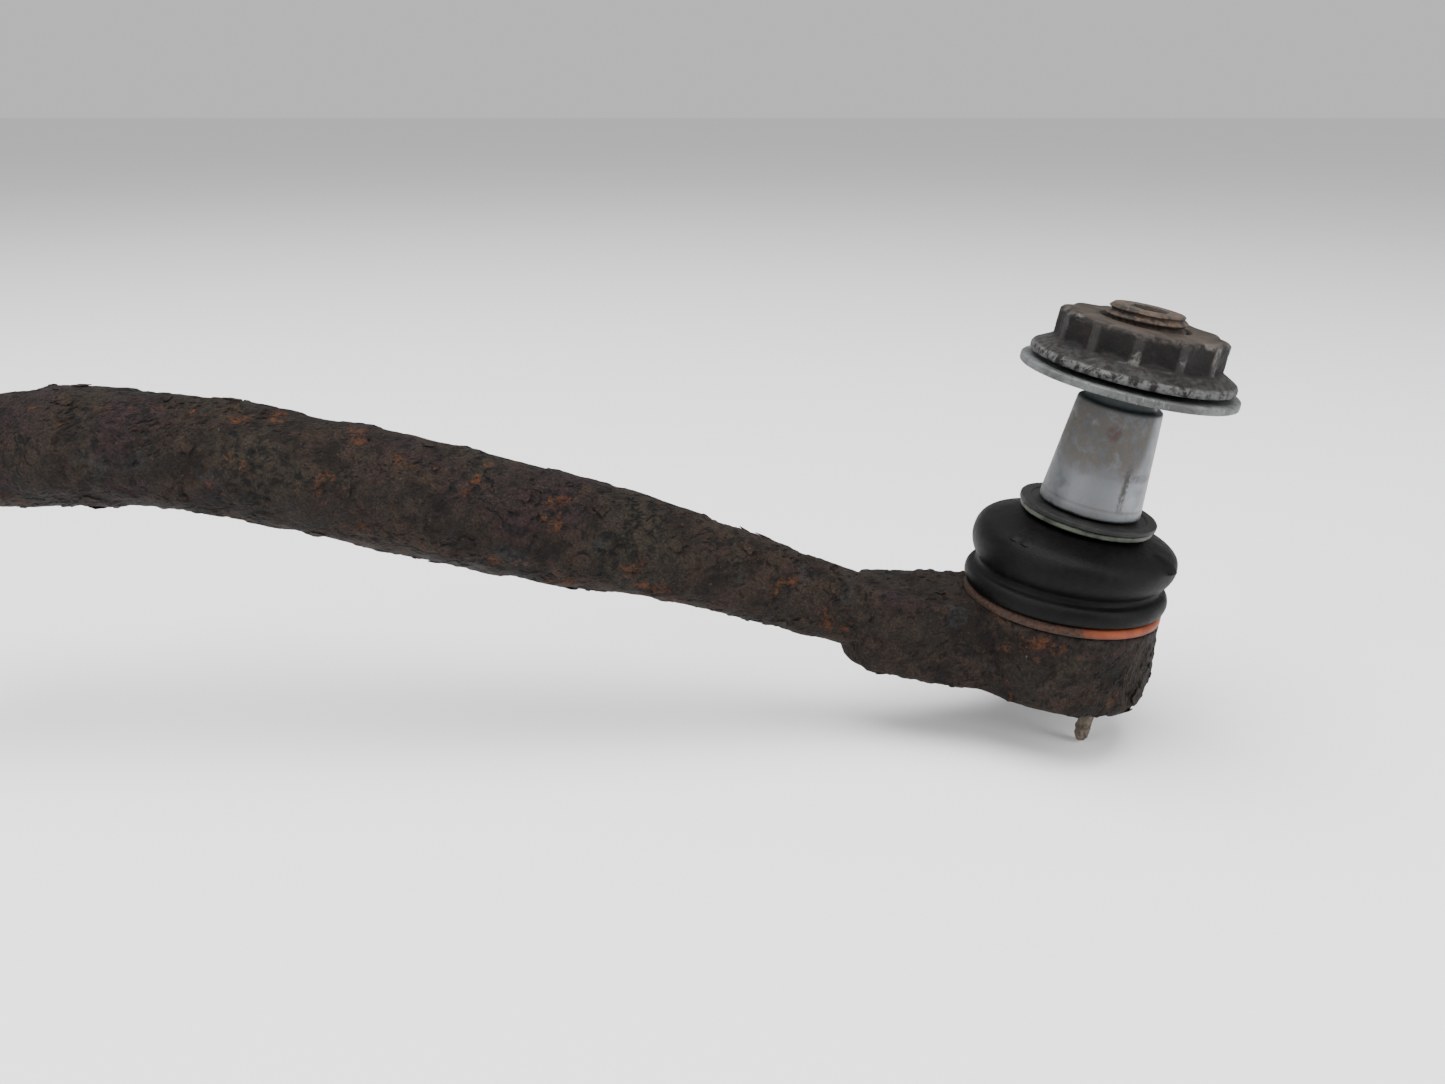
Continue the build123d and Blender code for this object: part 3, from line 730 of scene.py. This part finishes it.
stud_rows = []
low_angle = -np.arcsin(ball_flat / ball_radius)
high_angle = np.arccos(neck_radius / ball_radius)
for i in range(ball_steps + 1):
    angle = low_angle + (high_angle - low_angle) * i / ball_steps
    stud_rows.append(stud_row(ball_radius * cos(angle), ball_radius * sin(angle)))
seat_profile = softened(
    [
        (neck_radius, ball_radius * sin(high_angle)),
        (neck_radius, seat_start),
        (seat_large, seat_start),
        (seat_small, seat_end),
        (relief_radius, seat_end),
        (relief_radius, thread_start),
    ],
    0.5 * mm,
)
stud_rows += [stud_row(radius, height) for radius, height in even(seat_profile, 1.2 * mm)[1:]]
thread_steps = ceil((stud_end - thread_start) / thread_pitch * rows_per_pitch)
for i in range(thread_steps + 1):
    h = thread_start + (stud_end - thread_start) * i / thread_steps
    fade = smooth(thread_start - 0.6 * mm, thread_start + 0.9 * mm, h)
    limit = thread_major - max(0, h - (stud_end - stud_chamfer))

    def crest(angle, h=h, fade=fade, limit=limit):
        depth = thread_depth(h, angle)
        pocked = 0.10 * mm * noise.fractal(Vector((cos(angle) * 5, sin(angle) * 5, h / mm / 1.4)), 0.8, 2, 3)
        eaten = pocked * smooth(seat_end + 6 * mm, seat_end + 11 * mm, h)
        radius = relief_radius + (thread_major - relief_radius) * fade
        radius -= (thread_major - thread_minor) * fade * depth
        return min(radius, limit) - abs(eaten)

    stud_rows.append(stud_row(crest, h))
for share in (0.12, 0.45, 0.8, 0.97, 1.0):

    def top_ring(angle, share=share):
        outer = thread_major - stud_chamfer - 0.1 * mm
        return outer + (hexagon(key_flats, angle) - outer) * share

    stud_rows.append(stud_row(top_ring, stud_end - 0.12 * mm * (share > 0.99)))
for share in (0.25, 0.5, 0.75, 1.0):
    stud_rows.append(stud_row(lambda angle: hexagon(key_flats, angle) * 0.985, stud_end - key_depth * share))
stud_rows.append(stud_row(lambda angle: hexagon(key_flats, angle) * 0.5, stud_end - key_depth - 0.3 * mm))
stud = skin("ball_stud_turned", stud_rows, cap_low=True, cap_high=True)

stud_paint, place = start_material("stained_stud_steel")
height = place.along(ball, stud_up)
front = place.along(ball, stud_ahead)
near_side = place.along(ball, -stud_left)
bent = place.warped(0.004, 0.002, 2.0)
cloud = bent.grain(0.0065, 3.0, 6.0, 0.65)
fine_stain = bent.grain(0.0011, 5.0, 6.0, 0.7)
grit = place.grain(0.00028, 7.0, 3.0)
bright = cloud.ramp(0.35, 0.65).over((0.120, 0.126, 0.131), (0.195, 0.206, 0.222))
left_side = front.ramp(0.0058, 0.0002)
upper = height.ramp(0.0235, 0.0315) * near_side.ramp(-0.006, 0.002) * front.ramp(0.0060, 0.0032)
brown = (cloud.ramp(0.34, 0.60) * left_side * 0.55 + upper * cloud.ramp(0.22, 0.46)).ramp(0.0, 1.0)
speckle = fine_stain.ramp(0.40, 0.60)
stain = fine_stain.ramp(0.35, 0.65).over((0.0165, 0.0130, 0.0095), (0.072, 0.060, 0.046))
colour = (brown * (0.50 + 0.48 * speckle)).over(bright, stain)
spot = place.vector("DISTANCE", tuple(ball + stud_up * 0.0335 - stud_left * 0.0078 - stud_ahead * 0.0022), "Value")
colour = (spot.ramp(0.0019, 0.0008) * (0.3 + 0.5 * speckle)).over(colour, (0.050, 0.022, 0.019))
witness = height.ramp(0.0252, 0.0259) * height.ramp(0.0272, 0.0264) * (0.35 + 0.65 * fine_stain.ramp(0.35, 0.6))
colour = (witness * (0.15 + 0.7 * front.ramp(-0.002, 0.006))).over(colour, (0.060, 0.053, 0.060))
# Painted shade: a thin darker ring near the foot of the taper stands in for the shade in a small groove there.
foot_groove_shade = height.ramp(0.0196, 0.0199) * height.ramp(0.0204, 0.0201)
colour = (foot_groove_shade * 0.5).over(colour, (0.09, 0.085, 0.085))
wander = front - 0.0022 + 0.003 * (cloud - 0.5)
streak = wander.maths("ABSOLUTE", wander).ramp(0.0010, 0.0002) * near_side.ramp(0, 0.003)
streak = streak * height.ramp(0.0300, 0.0270) * height.ramp(0.0188, 0.0215) * fine_stain.ramp(0.38, 0.55)
colour = (streak * 0.85).over(colour, (0.034, 0.030, 0.026))
# Painted shade: a dark blue-grey band over the top of the taper and its relief stands in for the shadow under the
# washer, and takes away some of the metal there.
shoulder_painted_shade = height.ramp(0.0368, 0.0374)
colour = (shoulder_painted_shade * 0.85).over(colour, (0.017, 0.026, 0.029))
threaded = height.ramp(0.0386, 0.0392)
rusty = bent.grain(0.0012, 17.0, 6.0, 0.7)
thread_colour = rusty.ramp(0.38, 0.64).over((0.0080, 0.0052, 0.0040), (0.062, 0.038, 0.024))
thread_colour = (rusty.ramp(0.62, 0.72) * 0.7).over(thread_colour, (0.13, 0.098, 0.074))
colour = threaded.over(colour, thread_colour)
hole = place.from_axis(ball, stud_up).ramp(0.0036, 0.0030) * height.ramp(0.0495, 0.0505)
colour = (hole * 0.75).over(colour, (0.020, 0.018, 0.011))
rough = 0.36 + 0.3 * brown + 0.12 * fine_stain + threaded * 0.35
metal = (1 - brown * (0.35 + 0.5 * speckle)) * (1 - threaded) * (1 - 0.6 * shoulder_painted_shade)
relief = 0.10 * grit + 0.25 * brown * fine_stain + threaded * (0.8 * rusty + 0.5 * grit)
end_material(place, colour, rough.maths("MINIMUM", rough, 0.9), metal, relief, 0.00035)
stud.data.materials.append(stud_paint)
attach(stud, "stud")
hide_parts("ball_stud")

# ---- Orange ring --------------------------------------------------------------------------------------
# A moulded orange plastic ring laid on the housing's top face under the boot. It keeps its colour at the
# front and is caked with brown rust dust towards the shank.

orange_inner = 15.03 * mm
orange_outer = 18.1 * mm
orange_height = 1.6 * mm


def worn_round(radius, height, amount, size, seed):
    """A radius that wavers by an amount as it goes round, as a worn edge does."""

    def worn(angle):
        probe = Vector((cos(angle) * radius / size, sin(angle) * radius / size, height / size + seed))
        return radius + amount * noise.fractal(probe, 0.8, 2, 3)

    return worn


ring_profile = softened(
    [
        (orange_inner, 0.05 * mm),
        (orange_outer, 0.05 * mm),
        (orange_outer, orange_height * 0.62),
        (orange_outer - 0.45 * mm, orange_height),
        (orange_inner, orange_height),
        (orange_inner, 0.06 * mm),
    ],
    0.25 * mm,
)
orange_rows = []
for radius, height in ring_profile:
    worn = worn_round(radius, height, 0.05 * mm, 2.5 * mm, 4)
    orange_rows.append(ring_row(top_face, housing_up, housing_ahead, Vector((0, 1, 0)), worn, height, 180))
orange_ring = skin("orange_seal_ring", orange_rows, closed=True)
orange_paint, place = start_material("dusty_orange_plastic")
ahead = place.along(top_face, housing_ahead)
bent = place.warped(0.004, 0.002)
dust = bent.grain(0.006, 3.0, 6.0, 0.65)
grit = place.grain(0.0005, 5.0, 4.0)
caked = (ahead.ramp(0.013, -0.013) + (dust - 0.5) * 1.6).ramp(0.12, 0.85)
colour = dust.ramp(0.35, 0.6).over((0.120, 0.0220, 0.0048), (0.210, 0.0430, 0.0100))
colour = caked.over(colour, grit.ramp(0.35, 0.65).over((0.0150, 0.0085, 0.0058), (0.042, 0.022, 0.0145)))
rim = place.along(top_face, housing_up).ramp(0.0007, 0.0001)
colour = (rim * 0.6).over(colour, (0.026, 0.019, 0.015))
end_material(place, colour, 0.55 + 0.3 * caked, 0.0, 0.4 * grit + 0.3 * dust, 0.0002, 0.25)
orange_ring.data.materials.append(orange_paint)
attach(orange_ring, "housing")
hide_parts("orange_ring")

# ---- Boot -----------------------------------------------------------------------------------------------
# A moulded black rubber bellows with one bulge over a foot band. Its foot band is stretched over the housing's collar
# by an inner ring, and its neck closes on the stud under a clamp ring. It leans over with the stud. Small
# moulding nubs stand on its shoulder, and old grease and dust dull it.

boot_bend_from = 5.8 * mm
boot_neck_height = ball_above_top_face + 15.3 * mm


def boot_frame(height):
    """Middle, axis and two cross directions of the boot at a height above the housing's top face."""
    turned = max(0, (height - boot_bend_from) / (boot_neck_height - boot_bend_from))
    up = (housing_up * (1 - turned) + stud_up * turned).normalized()
    on_housing = top_face + housing_up * height
    on_stud = ball + stud_up * (height - ball_above_top_face)
    middle = on_housing * (1 - turned) + on_stud * turned
    ahead = (housing_ahead - up * housing_ahead.dot(up)).normalized()
    return middle, up, ahead, up.cross(ahead)


boot_outside = [
    (17.4, 1.95), (17.95, 2.05), (18.3, 2.5), (18.5, 3.2), (18.5, 3.9), (18.3, 4.6), (17.9, 5.15),
    (17.45, 5.4), (17.0, 5.65), (16.75, 6.05), (16.7, 6.5), (16.9, 6.95), (17.4, 7.5), (18.0, 8.4),
    (18.45, 9.6), (18.55, 10.8), (18.35, 12.0), (17.8, 13.05), (16.8, 13.9), (15.5, 14.5), (14.1, 15.0),
    (12.7, 15.45), (11.7, 15.8), (10.6, 16.1), (10.0, 16.35), (9.9, 17.0), (9.6, 17.35),
]
boot_inside = [
    (7.2, 17.35), (6.6, 17.1), (6.4, 16.5), (6.6, 15.6), (8.2, 14.9), (11.0, 14.3), (13.6, 13.6), (15.7, 12.7),
    (16.8, 11.6), (17.0, 10.4), (16.7, 9.2), (16.1, 8.2), (15.5, 7.4), (15.35, 6.7), (15.6, 6.1), (15.9, 5.6),
    (15.95, 4.0), (15.95, 2.1), (16.2, 1.95),
]
boot_columns = 200


def boot_row(radius, height):
    middle, up, ahead, left = boot_frame(height)

    def moulded(angle):
        """The radius with the parting line, the two nubs and the tab of the moulding."""
        sag = 0.12 * mm * sin(3 * angle + 0.7) * smooth(7 * mm, 11 * mm, height)
        r = radius + sag
        if 13.4 * mm < height < 15.2 * mm and radius > 13 * mm:
            for where, half in ((radians(213), 0.030), (radians(222), 0.035)):
                away = abs((angle - where + pi) % (2 * pi) - pi)
                r += 0.45 * mm * smooth(half * 1.6, half * 0.7, away)
        if 12.2 * mm < height < 14.9 * mm and radius > 14 * mm:
            away = abs((angle - radians(322) + pi) % (2 * pi) - pi)
            r += 0.75 * mm * smooth(0.075, 0.055, away)
        return r

    return ring_row(middle, up, ahead, left, moulded, 0, boot_columns)


def curve_through(points, parts):
    """Points on a smooth curve through given ones, with even parts between each two."""
    full = []
    padded = [points[0], *points, points[-1]]
    for a, b, c, d in zip(padded, padded[1:], padded[2:], padded[3:]):
        a, b, c, d = (Vector(p) for p in (a, b, c, d))
        for i in range(parts):
            t = i / parts
            square, cube = 2 * a - 5 * b + 4 * c - d, 3 * b - a - 3 * c + d
            full.append(0.5 * ((2 * b) + (c - a) * t + square * t * t + cube * t**3))
    return full + [Vector(points[-1])]


boot_profile = curve_through(boot_outside, 4) + curve_through(boot_inside, 2)
boot_rows = [boot_row(point.x * mm, point.y * mm) for point in boot_profile]
boot = skin("rubber_boot", boot_rows, closed=True)

rubber_paint, place = start_material("boot_rubber")
bent = place.warped(0.005, 0.003)
bloom = bent.grain(0.008, 3.0, 6.0, 0.62)
scuff = bent.grain(0.0014, 5.0, 5.0, 0.7)
grit = place.grain(0.00025, 7.0, 3.0)
upness = place.node("ShaderNodeNewGeometry", {}, {}, "Normal").vector("DOT_PRODUCT", tuple(housing_up), "Value")
dusty = bloom.ramp(0.42, 0.66) * (0.35 + 0.65 * upness.ramp(-0.1, 0.7))
colour = scuff.ramp(0.35, 0.65).over((0.0012, 0.0012, 0.0014), (0.0026, 0.0025, 0.0026))
colour = (dusty * 0.5).over(colour, (0.0070, 0.0058, 0.0050))
colour = (scuff.ramp(0.66, 0.74) * 0.35).over(colour, (0.014, 0.012, 0.0105))
rough = 0.42 + 0.16 * bloom + 0.15 * dusty
end_material(place, colour, rough, 0.0, 0.4 * scuff + 0.35 * grit + 0.3 * bloom, 0.00018, 0.10)
boot.data.materials.append(rubber_paint)
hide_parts("boot")
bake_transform(boot)

# ---- Clamp ring and seal ring ---------------------------------------------------------------------------
# A flat greenish-grey metal ring clamps the boot's neck, and a stiff black plastic seal ring lies on it
# round the foot of the taper.

clamp_low = 15.6 * mm
seal_low = 16.7 * mm
seal_high = 17.7 * mm


def stud_ring(name, profile, amount, size, seed, columns=180):
    """A ring turned about the stud's axis, with slightly worn edges."""
    rows = [stud_row(worn_round(r, h, amount, size, seed), h, columns) for r, h in profile]
    return skin(name, rows, closed=True)


def ring_outline(inner, outer, low, high, cut):
    """A rectangular section with eased corners, starting and ending part way along its inner side."""
    part = low + (high - low) * 0.4
    corners = [(inner, part), (inner, low), (outer, low), (outer, high), (inner, high)]
    return softened([*corners, (inner, part + (high - low) * 0.1)], cut)


clamp_outline = ring_outline(10.9 * mm, 12.0 * mm, clamp_low, clamp_low + 1.0 * mm, 0.3 * mm)
clamp_ring = stud_ring("clamp_ring", clamp_outline, 0.04 * mm, 2 * mm, 2)
clamp_paint, place = start_material("greenish_clamp_metal")
bent = place.warped(0.003, 0.001)
cloud = bent.grain(0.003, 3.0, 5.0)
grit = place.grain(0.0004, 5.0)
colour = cloud.ramp(0.38, 0.6).over((0.026, 0.032, 0.024), (0.080, 0.092, 0.070))
end_material(place, colour, 0.42 + 0.25 * cloud, 0.55, 0.5 * grit + 0.4 * cloud, 0.0001)
clamp_ring.data.materials.append(clamp_paint)
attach(clamp_ring, "boot_top")
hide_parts("boot_clamp_ring")

seal_profile = softened(
    [
        (6.3 * mm, seal_low + 0.4 * mm),
        (6.3 * mm, seal_low),
        (12.4 * mm, seal_low),
        (12.4 * mm, seal_high),
        (10.6 * mm, seal_high),
        (10.4 * mm, seal_high - 0.18 * mm),
        (6.3 * mm, seal_high - 0.18 * mm),
        (6.3 * mm, seal_low + 0.5 * mm),
    ],
    0.22 * mm,
)
seal_ring = stud_ring("seal_ring_disc", seal_profile, 0.05 * mm, 3 * mm, 6)
seal_paint, place = start_material("worn_black_plastic")
bent = place.warped(0.004, 0.0015)
cloud = bent.grain(0.004, 3.0, 6.0, 0.65)
grit = place.grain(0.0004, 5.0)
colour = cloud.ramp(0.4, 0.64).over((0.0060, 0.0060, 0.0063), (0.0165, 0.0165, 0.0168))
colour = (bent.grain(0.001, 9.0, 4.0).ramp(0.6, 0.72) * 0.5).over(colour, (0.052, 0.050, 0.047))
end_material(place, colour, 0.45 + 0.25 * cloud, 0.0, 0.5 * grit + 0.4 * cloud, 0.00015, 0.25)
seal_ring.data.materials.append(seal_paint)
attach(seal_ring, "boot_top")
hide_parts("seal_ring")

# ---- Captive washer ---------------------------------------------------------------------------------------
# A stamped, zinc-plated washer that a short rolled neck holds on the nut, free to turn. Its plating is dull
# and scratched, with dirt in the gap under the nut.

washer_low = 41.3 * mm
washer_thick = 1.4 * mm
washer_bore = 7.41 * mm
washer_radius = 19.1 * mm
washer_neck = 9.2 * mm
nut_low = 43.6 * mm
washer_top = washer_low + washer_thick
washer_profile = softened(
    [
        (washer_bore, washer_low + 0.5 * mm),
        (washer_bore, washer_low),
        (washer_radius, washer_low),
        (washer_radius, washer_top),
        (washer_neck, washer_top),
        (washer_neck, nut_low + 1.0 * mm),
        (washer_bore, nut_low + 1.0 * mm),
        (washer_bore, washer_low + 0.6 * mm),
    ],
    0.35 * mm,
)
washer = stud_ring("stamped_washer", even(washer_profile, 1.2 * mm), 0.06 * mm, 3 * mm, 8, 220)
zinc_paint, place = start_material("dull_zinc")
bent = place.warped(0.005, 0.0025)
cloud = bent.grain(0.006, 3.0, 6.0, 0.66)
fine_dirt = bent.grain(0.0012, 5.0, 6.0, 0.7)
grit = place.grain(0.0003, 7.0)
scratch = place.warped(0.01, 0.001).stretched(7, 1, 1).grain(0.0022, 9.0, 5.0)
colour = cloud.ramp(0.36, 0.64).over((0.046, 0.049, 0.047), (0.112, 0.120, 0.118))
colour = (fine_dirt.ramp(0.50, 0.62) * 0.75).over(colour, (0.022, 0.020, 0.0175))
colour = (scratch.ramp(0.62, 0.70) * 0.6).over(colour, (0.27, 0.28, 0.28))
green = bent.grain(0.004, 21.0, 4.0).ramp(0.62, 0.7)
colour = (green * 0.5).over(colour, (0.030, 0.040, 0.031))
end_material(place, colour, 0.42 + 0.3 * fine_dirt, 0.55 - 0.3 * fine_dirt, 0.5 * grit + 0.5 * fine_dirt, 0.00018)
washer.data.materials.append(zinc_paint)
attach(washer, "washer")
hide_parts("captive_washer")

# ---- Flange nut -----------------------------------------------------------------------------------------
# A cold-formed twelve-point flange nut, once phosphated black. The points are chipped bright by the socket
# wrench, the flange has rubbed to grey, and brown dust lies on top.

nut_flange_radius = 17.9 * mm
nut_flange_edge = 1.3 * mm
nut_flange_height = 3.4 * mm
nut_point = 14.9 * mm
nut_height = 8.4 * mm
nut_bore = 7.06 * mm
nut_bore_chamfer = 0.9 * mm
nut_recess = 9.55 * mm
nut_recess_depth = 1.4 * mm
nut_turned = radians(10)
nut_columns = 360


def nut_radius(angle):
    """The twelve-point outline: the further of two hexagons, rounded where they cross and at the points."""
    turned = angle - nut_turned
    sides = [nut_point * cos(pi / 6) / cos(((turned + shift) % (pi / 3)) - pi / 6) for shift in (0, pi / 6)]
    sharp = 46
    outer = (sum(s**sharp for s in (side / nut_point for side in sides)) ** (1 / sharp)) * nut_point
    phase = abs(((turned + pi / 12) % (pi / 6)) - pi / 12)
    tip = 0.35 * mm * smooth(0.045, 0.0, phase)
    worn = 0.10 * mm * noise.fractal(Vector((cos(angle) * 4, sin(angle) * 4, 2.0)), 0.8, 2, 3)
    return outer - tip * 0.8 + worn


nut_outlines = [nut_radius(2 * pi * j / nut_columns) for j in range(nut_columns)]


def nut_row(place_at, wear=0.0, seed=0.0):
    """A row of the nut: place_at gives a radius and a height above the nut's foot from its outline's radius."""
    row = []
    for j, outline in enumerate(nut_outlines):
        angle = 2 * pi * j / nut_columns
        radius, height = place_at(outline)
        probe = Vector((cos(angle) * radius, sin(angle) * radius, height)) / (1.6 * mm) + Vector((0, 0, seed))
        radius += wear * noise.fractal(probe, 0.8, 2, 3)
        spot = ball + stud_up * (nut_low + height)
        row.append(spot + stud_ahead * (radius * cos(angle)) + stud_left * (radius * sin(angle)))
    return row


slope = (nut_flange_height - nut_flange_edge) / (nut_flange_radius - nut_point + 0.9 * mm)


def on_flange(share):
    def at(outline):
        radius = nut_flange_radius - 0.25 * mm + (outline + 0.25 * mm - nut_flange_radius) * share
        return radius, nut_flange_edge + (nut_flange_radius - radius) * slope

    return at


def in_corner(outline):
    return outline + 0.12 * mm, nut_flange_edge + (nut_flange_radius - outline) * slope + 0.08 * mm


def on_side(share):
    def at(outline):
        foot = nut_flange_edge + (nut_flange_radius - outline) * slope
        return outline + 0.05 * mm * (1 - share), foot + 0.3 * mm + (nut_height - 0.75 * mm - foot - 0.3 * mm) * share

    return at


def on_top(share):
    def at(outline):
        outer = outline - 1.45 * mm
        return outer + (nut_bore + nut_bore_chamfer - outer) * share, nut_height

    return at


wear = 0.07 * mm
nut_plain = (
    (nut_bore, 5 * mm, 0),
    (nut_bore, nut_recess_depth + 0.1 * mm, 0),
    (nut_recess, nut_recess_depth, 0),
    (nut_recess, 0.15 * mm, 0),
    (nut_recess + 0.15 * mm, 0, 0),
    (nut_flange_radius - 2 * mm, 0, 0),
    (nut_flange_radius - 0.45 * mm, 0, 0),
    (nut_flange_radius - 0.1 * mm, 0.12 * mm, 0),
    (nut_flange_radius, 0.45 * mm, wear),
    (nut_flange_radius, 0.95 * mm, wear),
)
nut_rows = [nut_row(lambda o, at=(radius, height): at, rub, 1) for radius, height, rub in nut_plain]
nut_rows += [nut_row(on_flange(share), wear * 0.7, 1) for share in (0.02, 0.25, 0.5, 0.75, 0.9)]
nut_rows += [nut_row(in_corner, wear * 0.7, 1)]
nut_rows += [nut_row(on_side(share), wear, 2) for share in (0.0, 0.15, 0.3, 0.45, 0.6, 0.75, 0.9, 1.0)]
for inward, drop in ((0.12 * mm, 0.55 * mm), (0.5 * mm, 0.25 * mm), (0.95 * mm, 0.08 * mm)):
    nut_rows.append(nut_row(lambda o, inward=inward, drop=drop: (o - inward, nut_height - drop), wear, 3))
nut_rows += [nut_row(on_top(share), wear * 0.5, 4) for share in (0.0, 0.3, 0.6, 1.0)]
nut_rows += [nut_row(lambda o: (nut_bore, nut_height - nut_bore_chamfer))]
nut = skin("twelve_point_flange_nut", nut_rows, closed=True)

nut_paint, place = start_material("worn_black_steel")
height = place.along(ball, stud_up)
out = place.from_axis(ball, stud_up)
bent = place.warped(0.004, 0.002)
cloud = bent.grain(0.005, 3.0, 6.0, 0.66)
fine_dirt = bent.grain(0.0013, 5.0, 6.0, 0.7)
grit = place.grain(0.0003, 7.0)
dark = cloud.ramp(0.36, 0.62).over((0.0016, 0.0014, 0.0014), (0.0060, 0.0047, 0.0041))
dark = (fine_dirt.ramp(0.52, 0.68) * 0.5).over(dark, (0.024, 0.0145, 0.0105))
dusted = height.ramp(0.0515, 0.0519) * out.ramp(0.0146, 0.0136)
dust = cloud.ramp(0.35, 0.65).over((0.0200, 0.0148, 0.0115), (0.054, 0.042, 0.034))
colour = (dusted * (0.6 + 0.4 * fine_dirt)).over(dark, dust)
ridge = out.ramp(0.01435, 0.0147) * height.ramp(0.0462, 0.0475)
chipped = bent.grain(0.009, 43.0, 3.0).ramp(0.50, 0.60)
colour = (ridge * (0.12 + 0.8 * chipped * fine_dirt.ramp(0.42, 0.58))).over(colour, (0.150, 0.142, 0.134))
lip = height.ramp(0.0506, 0.0513) * height.ramp(0.0521, 0.0518) * out.ramp(0.0125, 0.0133)
colour = (lip * fine_dirt.ramp(0.44, 0.6) * (0.2 + 0.5 * chipped)).over(colour, (0.105, 0.095, 0.085))
flange = out.ramp(0.0146, 0.0153)
rubbed_grey = fine_dirt.ramp(0.4, 0.62).over((0.036, 0.035, 0.034), (0.0115, 0.0102, 0.0090))
colour = (flange * (0.55 + 0.45 * cloud.ramp(0.35, 0.6))).over(colour, rubbed_grey)
edge = out.ramp(0.0172, 0.0177)
colour = (edge * fine_dirt.ramp(0.6, 0.42) * 0.6).over(colour, (0.115, 0.118, 0.116))
metal = 0.35 * flange + 0.5 * ridge * chipped
end_material(
    place,
    colour,
    0.44 + 0.28 * fine_dirt + 0.15 * dusted,
    metal.maths("MINIMUM", metal, 1.0),
    0.5 * grit + 0.6 * fine_dirt,
    0.00030,
    0.16,
)
nut.data.materials.append(nut_paint)
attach(nut, "nut")
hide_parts("flange_nut")
